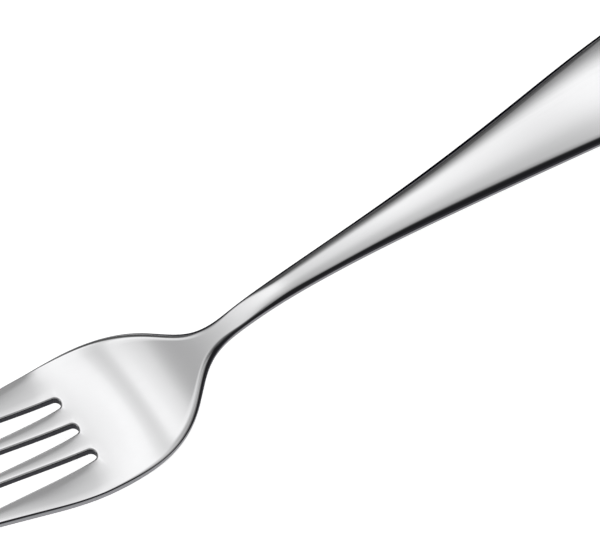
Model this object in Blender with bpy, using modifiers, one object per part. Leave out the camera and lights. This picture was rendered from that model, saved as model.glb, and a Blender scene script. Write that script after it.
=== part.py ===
"""Fruit fork in stainless steel, made in one piece.

The fork is modelled the way it is made. A flat blank is cut to its outline, with
the slots between the tines taken out. Then it gets its thickness, and it is pressed
to its side profile with a dished head, a slim neck and a crowned handle.
+X runs from the tine tips to the handle's end, +Y across, and +Z up from the table
that the fork rests on. Sizes are in metres.
"""

import bisect
import math
from typing import NamedTuple

import bmesh
import bpy
import numpy as np

# Lengths along the fork, from the tine tips on
LENGTH = 0.165
TINE_LENGTH = 0.0237
SLOTS_TO_WIDEST = 0.0017
SLOTS_TO_HEEL = 0.0121
HEEL_TO_NECK = 0.0178
NECK_TO_ARCH = 0.0135
HANDLE_REST_LENGTH = 0.0085
HANDLE_END_ROUNDING = 0.0125

# Widths across the fork
HEAD_WIDTH = 0.0241
NECK_WIDTH = 0.0037
HANDLE_WIDTH = 0.0204

# Tines, and the slots between them
TINE_PITCH = 0.00515
INNER_TINE_TIP_WIDTH = 0.0011
OUTER_TINE_TIP_WIDTH = 0.0015
SLOT_END_WIDTH = 0.0019
SLOT_FLARE = 0.8
SLOT_EDGE_RADIUS = 0.0003

# Heights of the underside's centre line above the table
TIP_RISE = 0.0125
NECK_RISE = 0.0060
ARCH_RISE = 0.0073
REST_FLAT_DEPTH = 0.00012

# Shape of each stretch between those places: (share of the way, share of the change)
TINE_OUTLINE = ((0.408, 0.525), (0.665, 0.823))
HEEL_OUTLINE = ((0.362, 0.118), (0.560, 0.420), (0.733, 0.836), (0.861, 0.979))
HANDLE_OUTLINE = ((0.147, 0.053), (0.345, 0.220), (0.554, 0.493), (0.828, 0.880))
TINE_PROFILE = ((0.307, 0.408), (0.617, 0.812), (0.775, 0.932))
HEEL_PROFILE = ((0.311, 0.210), (0.583, 0.545), (0.806, 0.800))
HANDLE_PROFILE = ((0.235, 0.197), (0.461, 0.365), (0.765, 0.590), (0.905, 0.873))


class Section(NamedTuple):
    """One cross-section of the fork, as sizes that its two sides share."""

    wall: float
    shoulder_height: float
    shoulder_width: float
    dish: float
    belly: float


# The wall is the upright part of the edge, and the shoulder the rounding above it. The
# dish is how far the upper face sinks in its middle, below zero where it is crowned
# instead, and the belly is how far the underside swells in its middle
TIP_SECTION = Section(0.0014, 0.0003, 0.0003, 0.0, 0.0001)
TINE_SECTION = Section(0.0016, 0.0003, 0.0003, 0.0001, 0.0001)
SLOT_END_SECTION = Section(0.0015, 0.0003, 0.0003, 0.00015, 0.0005)
HEEL_SECTION = Section(0.0012, 0.0004, 0.0006, 0.0006, 0.00115)
THROAT_SECTION = Section(0.00075, 0.0008, 0.0014, 0.0001, 0.0005)
NECK_SECTION = Section(0.00085, 0.0005, 0.00095, -0.0004, 0.0001)
ARCH_SECTION = Section(0.0009, 0.0005, 0.0009, -0.00055, 0.0001)
HANDLE_SECTION = Section(0.00085, 0.00065, 0.00085, -0.0012, 0.0)
LOWER_EDGE_RADIUS = 0.0003
TINE_SECTION_SHARE = 0.55
THROAT_SHARE = 0.5

# Across its width, a tine's upper face falls this much to its edges. This fades out
# over a length that ends a little past the slots
TINE_CROWN = 0.00016
TINE_CROWN_FADE = 0.005
TINE_CROWN_PAST_SLOTS = 0.0015

# Rings of a rounded edge, from the wall in: the angle that each has turned from the level
# face. A tight corner, with its shares of the rounding's width and height, leads from the
# wall to a wide arc
RING_ANGLES = tuple(math.radians(angle) for angle in (90, 46, 24, 0))
CORNER_ANGLE = RING_ANGLES[1]
CORNER_WIDTH_SHARE = 0.045
CORNER_HEIGHT_SHARE = 0.215
MOST_RING_SHARE = 0.8

# Fineness of the blank's grid. Half a slot has rows at these shares of its half width
HALF_SLOT_SHARES = (0.0, 0.5)
TINE_STEP = 0.0028
HEEL_STEP = 0.0016
HANDLE_STEP = 0.0042
HANDLE_END_RINGS = (0.28, 0.52, 0.72)
MERGE_DISTANCE = 0.00001
SHARP_ANGLE = math.radians(60)

STEEL_COLOUR = (0.60, 0.60, 0.61, 1.0)
STEEL_ROUGHNESS = 0.18

# Places along the fork, from the sizes above
TIP_X = -LENGTH / 2
END_X = LENGTH / 2
SLOT_END_X = TIP_X + TINE_LENGTH
SLOT_CENTRE_X = SLOT_END_X - SLOT_END_WIDTH / 2
HEEL_X = SLOT_END_X + SLOTS_TO_HEEL
NECK_X = HEEL_X + HEEL_TO_NECK
ARCH_X = NECK_X + NECK_TO_ARCH
HANDLE_WIDEST_X = END_X - HANDLE_END_ROUNDING
SLOT_TIP_WIDTH = TINE_PITCH - INNER_TINE_TIP_WIDTH
TIP_SPAN = 2 * TINE_PITCH + SLOT_TIP_WIDTH + 2 * OUTER_TINE_TIP_WIDTH

# Rows of the half blank from the centre line out. Each tine has the rings of a rounded
# edge on each side of its middle row
EDGE_RINGS = len(RING_ANGLES)
MIDDLE_SLOT_EDGE = len(HALF_SLOT_SHARES)
INNER_TINE = (MIDDLE_SLOT_EDGE, MIDDLE_SLOT_EDGE + 2 * EDGE_RINGS)
OUTER_SLOT = (INNER_TINE[1], INNER_TINE[1] + 2 * MIDDLE_SLOT_EDGE)
OUTER_TINE = (OUTER_SLOT[1], OUTER_SLOT[1] + 2 * EDGE_RINGS)
EDGE_ROW = OUTER_TINE[1]
SHOULDER_ROW = EDGE_ROW - EDGE_RINGS + 1
SLOT_END_REACH = TINE_PITCH / 2


def smooth_curve(stations):
    """The curve of least bending through (x, value) stations, as a function of x."""
    x, value = np.array(stations, float).T
    gap = np.diff(x)
    slope = np.diff(value) / gap
    matrix = np.eye(len(x))
    right = np.zeros(len(x))
    for k in range(1, len(x) - 1):
        matrix[k, k - 1 : k + 2] = gap[k - 1], 2 * (gap[k - 1] + gap[k]), gap[k]
        right[k] = 6 * (slope[k] - slope[k - 1])
    bend = np.linalg.solve(matrix, right)

    def curve(at):
        k = min(max(bisect.bisect_right(x, at) - 1, 0), len(gap) - 1)
        before = at - x[k]
        after = x[k + 1] - at
        cubic = (bend[k] * after**3 + bend[k + 1] * before**3) / (6 * gap[k])
        start = (value[k] / gap[k] - bend[k] * gap[k] / 6) * after
        end = (value[k + 1] / gap[k] - bend[k + 1] * gap[k] / 6) * before
        return float(cubic + start + end)

    return curve


def curve_through(places, shapes):
    """A smooth curve through main (x, value) places, shaped by shares between them."""
    stations = [places[0]]
    for (x0, v0), (x1, v1), shares in zip(places, places[1:], shapes):
        stations += [(x0 + way * (x1 - x0), v0 + part * (v1 - v0)) for way, part in shares]
        stations.append((x1, v1))
    return smooth_curve(stations)


half_width = curve_through(
    (
        (TIP_X, TIP_SPAN / 2),
        (SLOT_END_X + SLOTS_TO_WIDEST, HEAD_WIDTH / 2),
        (NECK_X, NECK_WIDTH / 2),
        (HANDLE_WIDEST_X, HANDLE_WIDTH / 2),
        (END_X, HANDLE_WIDTH / 2),
    ),
    (TINE_OUTLINE, HEEL_OUTLINE, HANDLE_OUTLINE, ()),
)

underside = curve_through(
    (
        (TIP_X, TIP_RISE),
        (HEEL_X, 0.0),
        (NECK_X, NECK_RISE),
        (ARCH_X, ARCH_RISE),
        (END_X - HANDLE_REST_LENGTH, 0.0),
        (END_X, 0.0),
    ),
    (TINE_PROFILE, HEEL_PROFILE, (), HANDLE_PROFILE, ()),
)

SECTIONS = (
    (TIP_X, TIP_SECTION),
    (TIP_X + TINE_SECTION_SHARE * TINE_LENGTH, TINE_SECTION),
    (SLOT_END_X, SLOT_END_SECTION),
    (HEEL_X, HEEL_SECTION),
    (HEEL_X + THROAT_SHARE * HEEL_TO_NECK, THROAT_SECTION),
    (NECK_X, NECK_SECTION),
    (ARCH_X, ARCH_SECTION),
    (HANDLE_WIDEST_X, HANDLE_SECTION),
    (END_X, HANDLE_SECTION),
)
SECTION_CURVES = [
    smooth_curve([(x, section[size]) for x, section in SECTIONS])
    for size in range(len(Section._fields))
]


def section(x):
    """The cross-section at x, between the named ones."""
    return Section(*(curve(x) for curve in SECTION_CURVES))


def slot_half_width(x):
    """Half a slot's width. Slots widen to the tips, a little faster near their ends."""
    share = max(SLOT_CENTRE_X - x, 0) / (SLOT_CENTRE_X - TIP_X)
    return (SLOT_END_WIDTH + (SLOT_TIP_WIDTH - SLOT_END_WIDTH) * share**SLOT_FLARE) / 2


def ease(share):
    """A share from 0 to 1, with a soft start and end."""
    share = min(max(share, 0), 1)
    return share * share * (3 - 2 * share)


def edge_ring(angle):
    """How far in and how far down a ring of a rounded edge lies, as shares."""
    if angle >= CORNER_ANGLE:
        inward = (1 - math.sin(angle)) / (1 - math.sin(CORNER_ANGLE))
        up = math.cos(angle) / math.cos(CORNER_ANGLE)
        return CORNER_WIDTH_SHARE * inward, 1 - CORNER_HEIGHT_SHARE * up
    outward = math.sin(angle) / math.sin(CORNER_ANGLE)
    down = (1 - math.cos(angle)) / (1 - math.cos(CORNER_ANGLE))
    return 1 - (1 - CORNER_WIDTH_SHARE) * outward, (1 - CORNER_HEIGHT_SHARE) * down


RING_INSET, RING_FALL = zip(*(edge_ring(angle) for angle in RING_ANGLES))


def ring_insets(width, room):
    """Distances of an edge's rings from the edge, where half the piece is room wide."""
    return [inset * min(width, MOST_RING_SHARE * room) for inset in RING_INSET]


def tine_rows(inner, outer, inner_rounding, outer_rounding):
    """Rows across a tine: its rounded inner edge, its middle and its rounded outer edge."""
    room = (outer - inner) / 2
    rising = [inner + inset for inset in ring_insets(inner_rounding, room)]
    falling = [outer - inset for inset in ring_insets(outer_rounding, room)]
    return rising + [(rising[-1] + falling[-1]) / 2] + falling[::-1]


def slotted_rows(x):
    """Distances of all rows from the centre line, where slots and tines set them."""
    slot = slot_half_width(x)
    shoulder = section(x).shoulder_width
    inner_tine = tine_rows(slot, TINE_PITCH - slot, SLOT_EDGE_RADIUS, SLOT_EDGE_RADIUS)
    outer_tine = tine_rows(TINE_PITCH + slot, half_width(x), SLOT_EDGE_RADIUS, shoulder)
    middle_slot = [share * slot for share in HALF_SLOT_SHARES]
    before_middle = [TINE_PITCH - across for across in middle_slot[::-1]]
    past_middle = [TINE_PITCH + across for across in middle_slot[1:]]
    return middle_slot + inner_tine + before_middle + past_middle + outer_tine


def rows_at(x):
    """Distances of all rows from the centre line at x, even ones from the neck on."""
    slots_reach = SLOT_CENTRE_X + SLOT_END_REACH
    if x <= slots_reach:
        return slotted_rows(x)
    edge = half_width(x)
    rim = [edge - inset for inset in ring_insets(section(x).shoulder_width, edge)]
    slotted = slotted_rows(slots_reach)
    even = ease((x - slots_reach) / (NECK_X - slots_reach))
    shares = [
        (1 - even) * slotted[row] / slotted[SHOULDER_ROW] + even * row / SHOULDER_ROW
        for row in range(SHOULDER_ROW)
    ]
    return [share * rim[-1] for share in shares] + rim[::-1]


def on_circle(across, along):
    """Takes a point of a square's ring to the same ring as a circle, for along >= 0."""
    ring = max(abs(across), along)
    if ring == 0:
        return 0.0, 0.0
    if abs(across) >= along:
        angle = math.radians(90 - 45 * along / abs(across))
    else:
        angle = math.radians(45 * abs(across) / along)
    return math.copysign(ring * math.sin(angle), across), ring * math.cos(angle)


def around_slot_end(x, y, centre_y):
    """Bends the rows and columns near a slot's end round the end's half circle."""
    along = x - SLOT_CENTRE_X
    across = y - centre_y
    ring = max(abs(across), along)
    if along <= 0 or ring >= SLOT_END_REACH:
        return x, y
    rounded_part = SLOT_END_WIDTH / 2 + SLOT_EDGE_RADIUS
    straight = ease((ring - rounded_part) / (SLOT_END_REACH - rounded_part))
    round_across, round_along = on_circle(across, along)
    x = SLOT_CENTRE_X + straight * along + (1 - straight) * round_along
    return x, centre_y + straight * across + (1 - straight) * round_across


def evenly(start, end, step):
    """Places from start to end, with both of them, no further apart than step."""
    return list(np.linspace(start, end, max(math.ceil((end - start) / step), 1) + 1))


# Columns of the blank along the fork: the rings of the tips, the tines, the rings of
# the slots' ends, the heel, the handle, and the rings of the handle's end
TINES_START_X = TIP_X + OUTER_TINE_TIP_WIDTH / 2
TINE_COLUMNS = evenly(TINES_START_X, SLOT_CENTRE_X, TINE_STEP)
SLOT_END_COLUMNS = [
    SLOT_CENTRE_X + share * SLOT_END_WIDTH / 2 for share in HALF_SLOT_SHARES[1:]
] + [SLOT_END_X + inset * SLOT_EDGE_RADIUS for inset in RING_INSET]
HEEL_COLUMNS = evenly(SLOT_CENTRE_X + SLOT_END_REACH, NECK_X, HEEL_STEP)
HANDLE_COLUMNS = evenly(NECK_X, HANDLE_WIDEST_X, HANDLE_STEP)[1:]
STRAIGHT_COLUMNS = TINE_COLUMNS + SLOT_END_COLUMNS + HEEL_COLUMNS + HANDLE_COLUMNS
LAST_SLOT_COLUMN = EDGE_RINGS + len(TINE_COLUMNS) + MIDDLE_SLOT_EDGE - 1
HANDLE_END_START = EDGE_RINGS + len(STRAIGHT_COLUMNS)
HANDLE_RIM = ring_insets(HANDLE_SECTION.shoulder_width, HANDLE_WIDTH / 2)
END_RINGS = list(HANDLE_END_RINGS) + [1 - i / (HANDLE_WIDTH / 2) for i in HANDLE_RIM[::-1]]
LAST_COLUMN = HANDLE_END_START + len(END_RINGS) - 1


def tip_place(column, row):
    """Place of a grid point in the rings round a tine's tip."""
    rows = rows_at(TINES_START_X)
    first, last = INNER_TINE if row <= INNER_TINE[1] else OUTER_TINE
    middle = (rows[first] + rows[last]) / 2
    half = (rows[last] - rows[first]) / 2
    ring = 1 - ring_insets(SLOT_EDGE_RADIUS, half)[column] / half
    across, along = on_circle((rows[row] - middle) / half, ring)
    return TIP_X + half * (1 - along), middle + half * across


def place(column, row):
    """Place of a grid point in the flat blank."""
    if column < EDGE_RINGS:
        return tip_place(column, row)
    if column >= HANDLE_END_START:
        share = rows_at(HANDLE_WIDEST_X)[row] / (HANDLE_WIDTH / 2)
        across, along = on_circle(share, END_RINGS[column - HANDLE_END_START])
        return HANDLE_WIDEST_X + HANDLE_END_ROUNDING * along, HANDLE_WIDTH / 2 * across
    x = STRAIGHT_COLUMNS[column - EDGE_RINGS]
    y = rows_at(x)[row]
    for centre_y in (0.0, TINE_PITCH):
        x, y = around_slot_end(x, y, centre_y)
    return x, y


def slot_ring(column, row):
    """How many rings a grid point lies from the nearest slot's edge, or from a tip."""
    past_end = column - LAST_SLOT_COLUMN
    from_middle = max(row - MIDDLE_SLOT_EDGE, past_end, 0)
    from_outer = max(OUTER_SLOT[0] - row, row - OUTER_SLOT[1], past_end, 0)
    return min(from_middle, from_outer, column)


def tine_crown(x, y):
    """How far a tine's upper face has fallen, from the middle of its width to y."""
    fade = ease((SLOT_END_X + TINE_CROWN_PAST_SLOTS - x) / TINE_CROWN_FADE)
    if fade == 0:
        return 0.0
    inner = slot_half_width(x)
    outer = TINE_PITCH - inner
    if y > TINE_PITCH:
        inner = TINE_PITCH + slot_half_width(x)
        outer = half_width(x)
    across = min(abs(2 * y - inner - outer) / (outer - inner), 1)
    return TINE_CROWN * across**2 * fade


def heights(column, row, x, y):
    """Lowest and highest point of the pressed fork over a point of the blank."""
    if x > HANDLE_WIDEST_X:
        outward = math.hypot((x - HANDLE_WIDEST_X) / HANDLE_END_ROUNDING, 2 * y / HANDLE_WIDTH)
    else:
        outward = y / half_width(x)
    here = section(x)
    upper = lower = 0.0
    rim_ring = min(EDGE_ROW - row, LAST_COLUMN - column)
    if rim_ring < EDGE_RINGS:
        upper = RING_FALL[rim_ring] * here.shoulder_height
        lower = RING_FALL[rim_ring] * LOWER_EDGE_RADIUS
    cut_ring = slot_ring(column, row)
    if cut_ring < EDGE_RINGS:
        upper = max(upper, RING_FALL[cut_ring] * SLOT_EDGE_RADIUS)
        lower = max(lower, RING_FALL[cut_ring] * LOWER_EDGE_RADIUS)
    base = underside(x) - REST_FLAT_DEPTH
    edge = base + here.belly + LOWER_EDGE_RADIUS + here.wall + here.shoulder_height
    low = base + here.belly * outward**2 + lower
    high = edge - here.dish * (1 - outward**2) - tine_crown(x, y) - upper
    return max(low, 0.0), high


def cut_blank():
    """Half of the flat blank on one side of the centre line, with its slots taken out."""
    blank = bmesh.new()
    column_of = blank.verts.layers.int.new("column")
    row_of = blank.verts.layers.int.new("row")
    bmesh.ops.create_grid(blank, x_segments=LAST_COLUMN, y_segments=EDGE_ROW, size=0.5)
    for vert in blank.verts:
        vert[column_of] = round((vert.co.x + 0.5) * LAST_COLUMN)
        vert[row_of] = round((vert.co.y + 0.5) * EDGE_ROW)
        vert.co.xy = place(vert[column_of], vert[row_of])
    in_slots = []
    for face in blank.faces:
        rows = [vert[row_of] for vert in face.verts]
        in_middle = max(rows) <= MIDDLE_SLOT_EDGE
        in_outer = min(rows) >= OUTER_SLOT[0] and max(rows) <= OUTER_SLOT[1]
        before_end = max(vert[column_of] for vert in face.verts) <= LAST_SLOT_COLUMN
        if before_end and (in_middle or in_outer):
            in_slots.append(face)
    bmesh.ops.delete(blank, geom=in_slots, context="FACES")
    return blank


def press(blank):
    """Gives the blank its thickness and its pressed form, open on the centre plane."""
    column_of = blank.verts.layers.int["column"]
    row_of = blank.verts.layers.int["row"]
    raised = bmesh.ops.extrude_face_region(blank, geom=blank.faces[:])["geom"]
    upper = {item for item in raised if isinstance(item, bmesh.types.BMVert)}
    on_plane = [
        face
        for face in blank.faces
        if all(vert[row_of] == 0 for vert in face.verts)
    ]
    bmesh.ops.delete(blank, geom=on_plane, context="FACES")
    for vert in blank.verts:
        low, high = heights(vert[column_of], vert[row_of], vert.co.x, vert.co.y)
        vert.co.z = high if vert in upper else low
    bmesh.ops.recalc_face_normals(blank, faces=blank.faces[:])


def steel():
    """Polished 18/10 stainless steel."""
    material = bpy.data.materials.new("stainless_steel")
    material.use_nodes = True
    shader = material.node_tree.nodes["Principled BSDF"]
    shader.inputs["Base Color"].default_value = STEEL_COLOUR
    shader.inputs["Metallic"].default_value = 1.0
    shader.inputs["Roughness"].default_value = STEEL_ROUGHNESS
    material.diffuse_color = STEEL_COLOUR
    return material


def main():
    for obj in list(bpy.data.objects):
        bpy.data.objects.remove(obj, do_unlink=True)
    collection = bpy.data.collections.new("fruit_fork")
    bpy.context.scene.collection.children.link(collection)
    blank = cut_blank()
    press(blank)
    mesh = bpy.data.meshes.new("fork")
    blank.to_mesh(mesh)
    blank.free()
    fork = bpy.data.objects.new("fork", mesh)
    collection.objects.link(fork)
    mesh.materials.append(steel())
    mesh.shade_smooth()
    mesh.set_sharp_from_angle(angle=SHARP_ANGLE)
    halves = fork.modifiers.new("other_half", "MIRROR")
    halves.use_axis = (False, True, False)
    halves.merge_threshold = MERGE_DISTANCE


main()
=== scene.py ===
"""Looks of a one-piece fruit fork in polished stainless steel.

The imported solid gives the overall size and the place. Round it this script makes a
finer fork in the same way as the real one is made: a blank with its slots cut out,
thickened, pressed and given rounded edges. It also makes the steel's finish, a pale
floor, soft studio light from above and the camera. Sizes are in metres.
"""

import bisect
import functools
import math
from typing import NamedTuple

import bmesh
import bpy
import numpy as np
from bpy.props import FloatProperty, FloatVectorProperty, PointerProperty
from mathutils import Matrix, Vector


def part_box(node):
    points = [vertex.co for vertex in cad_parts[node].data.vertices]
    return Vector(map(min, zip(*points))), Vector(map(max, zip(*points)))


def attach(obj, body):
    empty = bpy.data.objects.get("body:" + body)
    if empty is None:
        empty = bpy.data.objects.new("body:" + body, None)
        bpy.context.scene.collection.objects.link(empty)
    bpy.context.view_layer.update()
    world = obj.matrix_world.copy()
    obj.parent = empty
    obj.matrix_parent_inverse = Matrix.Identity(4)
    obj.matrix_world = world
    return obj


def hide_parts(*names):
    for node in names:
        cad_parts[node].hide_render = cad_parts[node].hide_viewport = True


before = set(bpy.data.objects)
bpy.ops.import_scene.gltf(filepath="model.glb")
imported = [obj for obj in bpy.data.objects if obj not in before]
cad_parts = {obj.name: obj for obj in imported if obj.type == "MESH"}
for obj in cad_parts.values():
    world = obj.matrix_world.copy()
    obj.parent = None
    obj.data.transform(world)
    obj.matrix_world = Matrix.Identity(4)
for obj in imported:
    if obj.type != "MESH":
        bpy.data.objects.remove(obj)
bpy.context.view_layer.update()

bl_info = {
    "name": "Fruit Fork",
    "version": (1, 0, 0),
    "blender": (4, 5, 0),
    "location": "3D View > Sidebar > Fruit Fork",
    "description": "Makes a stainless steel fruit fork with its floor, light and camera",
    "category": "Object",
}

MM = 0.001
CAD_LOW, CAD_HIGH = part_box("fork")


def linear(hex_colour):
    """An sRGB colour such as "c8c8ca" as linear red, green, blue and alpha."""
    parts = [int(hex_colour[i : i + 2], 16) / 255 for i in (0, 2, 4)]
    return (
        *(p / 12.92 if p <= 0.04045 else ((p + 0.055) / 1.055) ** 2.4 for p in parts),
        1.0,
    )


# Places along the fork, from tips to handle, that aren't among its main sizes, as
# lengths or as shares of their stretch. The heel is the head's lowest place, and the
# throat is where the shoulders of the head run into the neck
TINE_SECTION_SHARE = 0.55
SLOT_END_TO_WIDEST_HEAD = 1.7 * MM
SLOT_END_TO_HEEL = 12.1 * MM
HEEL_TO_NECK = 17.8 * MM
THROAT_SHARE = 0.5
NECK_TO_NAPE = 8 * MM
NECK_TO_ARCH = 13.5 * MM
ARCH_TO_SHAFT = 15.4 * MM
HANDLE_END_ROUNDING = 12.5 * MM
HANDLE_END_FLAT = 8.5 * MM

# Shape of each stretch between the fork's main places: (share of the way, of the change)
TINE_OUTLINE = ((0.408, 0.525), (0.665, 0.823))
HEEL_OUTLINE = ((0.362, 0.118), (0.560, 0.420), (0.733, 0.836), (0.861, 0.979))
HANDLE_OUTLINE = ((0.147, 0.053), (0.345, 0.220), (0.554, 0.493), (0.828, 0.880))
TINE_PROFILE = ((0.307, 0.408), (0.617, 0.812), (0.775, 0.932))
HEEL_PROFILE = ((0.311, 0.210), (0.583, 0.537), (0.806, 0.806))
HANDLE_PROFILE = ((0.235, 0.197), (0.461, 0.365), (0.765, 0.590), (0.905, 0.873))
# Power of the slots' widening towards the tips. At 1 their walls would be straight
SLOT_FLARE = 0.8
# Where the fork meets the table, it is flat to this depth
REST_FLAT_DEPTH = 0.12 * MM
SLOT_EDGE_RADIUS = 0.3 * MM
LOWER_EDGE_RADIUS = 0.3 * MM


class Section(NamedTuple):
    """One cross-section of the fork, as sizes that its two sides share."""

    wall: float
    shoulder_height: float
    shoulder_width: float
    dish: float
    belly: float


# Upright wall of the edge, rounding above it (height and width), how far the upper face
# sinks in its middle (below zero where it is crowned) and how far the underside swells
TIP_SECTION = Section(1.4 * MM, 0.3 * MM, 0.3 * MM, 0.0 * MM, 0.1 * MM)
TINE_SECTION = Section(1.6 * MM, 0.3 * MM, 0.3 * MM, 0.1 * MM, 0.1 * MM)
SLOT_END_SECTION = Section(1.5 * MM, 0.3 * MM, 0.3 * MM, 0.15 * MM, 0.5 * MM)
HEEL_SECTION = Section(1.0 * MM, 0.55 * MM, 1.2 * MM, 0.6 * MM, 1.15 * MM)
THROAT_SECTION = Section(0.45 * MM, 1.1 * MM, 1.65 * MM, 0.1 * MM, 0.5 * MM)
NECK_SECTION = Section(0.93 * MM, 0.42 * MM, 0.5 * MM, -0.1 * MM, 0.1 * MM)
NAPE_SECTION = Section(0.92 * MM, 0.46 * MM, 0.95 * MM, -0.42 * MM, 0.1 * MM)
ARCH_SECTION = Section(0.92 * MM, 0.48 * MM, 0.85 * MM, -0.47 * MM, 0.1 * MM)
SHAFT_SECTION = Section(0.86 * MM, 0.68 * MM, 1.11 * MM, -0.61 * MM, 0.17 * MM)
HANDLE_SECTION = Section(0.85 * MM, 0.65 * MM, 0.85 * MM, -1.2 * MM, 0.0 * MM)

# Across its width, a tine's upper face falls to its edges by this much. The fall fades
# out over a stretch of the head that ends a little past the slots
TINE_CROWN = 0.16 * MM
TINE_CROWN_FADE = 5 * MM
TINE_CROWN_PAST_SLOT = 1.5 * MM

# Fineness of the mesh: rows across a tine's middle and half a slot, and the steps
# between columns along the fork
TINE_MIDDLE_ROWS = 4
SLOT_ROWS = 4
TINE_STEP = 0.6 * MM
SLOT_END_STEP = 0.2 * MM
HEEL_STEP = 0.45 * MM
HANDLE_STEP = 0.9 * MM
HANDLE_END_STEP = 0.6 * MM
# A rounded edge takes up at most this share of half the width
MOST_EDGE_SHARE = 0.8
# The normal of an upright wall rises or falls by less than this
UPRIGHT = 0.02
MERGE_DISTANCE = 0.01 * MM

# Where the steel's colour and roughness change, by how far its surface has turned from
# the face, at 0, to an upright wall, at 1. A painted dark reflection starts on the
# rounding, the rougher outer edge with its painted grey reflection starts at the wall's
# top, and in the slots the rough walls with their painted dark reflection start on their
# small rounding
PAINTED_DARK_REFLECTION_TURNS = (0.32, 0.455)
ROUGH_EDGE_AND_PAINTED_REFLECTION = (0.9, 1.0)
ROUGH_SLOT_AND_PAINTED_SHADE = (0.38, 0.8)
# Past the head, the painted dark reflection starts a little sooner
HEAD_TO_HANDLE = (-45 * MM, -35 * MM)
SOONER_PAST_HEAD = 0.035
# Share of the painted darker reflection at a low angle that the slot walls take
SLOT_TINT_SHARE = 0.68
# A polishing line is this many times as long as the lines are apart
LINE_LENGTH_IN_SPACINGS = 80
LINE_DEPTH = 0.0008 * MM
# Between these values of the lines' noise, where most of it lies, the roughness goes from
# one share of its mean to the other
LINE_NOISE = (0.3, 0.7)
ROUGHNESS_SPREAD = (0.8, 1.2)

# Light from overhead, as (angle from straight up in degrees, share of the softbox's
# level). Along the fork it goes from the tips' side to the handle's side, and across it
# from the near side to the far side. The throat, the handle and the tips each mirror a
# light across of their own, and one gives way to the next between two angles along
LIGHT_ALONG = (
    (-90, 0.2),
    (-50, 0.25),
    (-38, 0.4),
    (-34, 0.38),
    (-30, 0.4),
    (-26, 0.52),
    (-21, 0.72),
    (-16, 0.8),
    (-5, 0.93),
    (3, 0.93),
    (9, 0.76),
    (14, 0.69),
    (18, 0.76),
    (21, 0.8),
    (24, 0.96),
    (30, 1.0),
    (36, 0.89),
    (46, 0.67),
    (57, 0.63),
    (66, 0.56),
    (90, 0.4),
)
LIGHT_ACROSS_THROAT = (
    (-90, 0.0),
    (-58, 0.005),
    (-40, 0.02),
    (-28, 0.08),
    (-18, 0.18),
    (-8, 0.35),
    (-2, 0.55),
    (4, 0.75),
    (10, 0.88),
    (16, 0.96),
    (24, 1.0),
    (34, 0.97),
    (44, 0.85),
    (60, 0.68),
    (75, 0.45),
    (90, 0.2),
)
THROAT_TO_HANDLE = (-14, 6)
LIGHT_ACROSS_HANDLE = (
    (-90, 0.0),
    (-58, 0.01),
    (-50, 0.09),
    (-43, 0.21),
    (-36, 0.36),
    (-28, 0.46),
    (-18, 0.56),
    (-8, 0.62),
    (-3, 0.67),
    (2, 0.73),
    (8, 0.85),
    (14, 0.94),
    (20, 0.97),
    (32, 1.0),
    (35, 0.96),
    (38, 0.78),
    (41, 0.52),
    (44, 0.28),
    (47, 0.14),
    (53, 0.1),
    (70, 0.09),
    (80, 0.18),
    (90, 0.3),
)
LIGHT_ACROSS_TIPS = (
    (-90, 0.0),
    (-60, 0.02),
    (-40, 0.1),
    (-28, 0.5),
    (-21, 1.1),
    (-15, 1.42),
    (-5, 1.38),
    (-1, 1.27),
    (6, 1.14),
    (11, 1.08),
    (15, 1.02),
    (20, 0.94),
    (28, 0.86),
    (36, 0.72),
    (41, 0.57),
    (48, 0.3),
    (52, 0.15),
    (60, 0.1),
    (90, 0.05),
)
HANDLE_TO_TIPS = (30, 44)

# The studio's grey walls stand round the fork, so that it isn't black from other sides.
# Their angles go round the fork from the far side towards the handle's side, and their
# heights are those of a direction one unit long. They leave a dark gap on the far side,
# which the far edges mirror, and reach higher on the tips' side. Each pair is where a
# change starts and where it is complete
GAP_MIDDLE = math.radians(15)
GAP_HALF = (math.radians(9), math.radians(20))
WALL_LEVEL = 0.3
WALL_TOP = (0.54, 0.71)
HIGH_WALL_MIDDLE = math.radians(-98)
HIGH_WALL_HALF = (math.radians(58), math.radians(72))
HIGH_WALL_EXTRA = 0.15
# Below this band of heights the surroundings are as pale as the floor
PALE_HORIZON = (0.05, 0.11)


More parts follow.
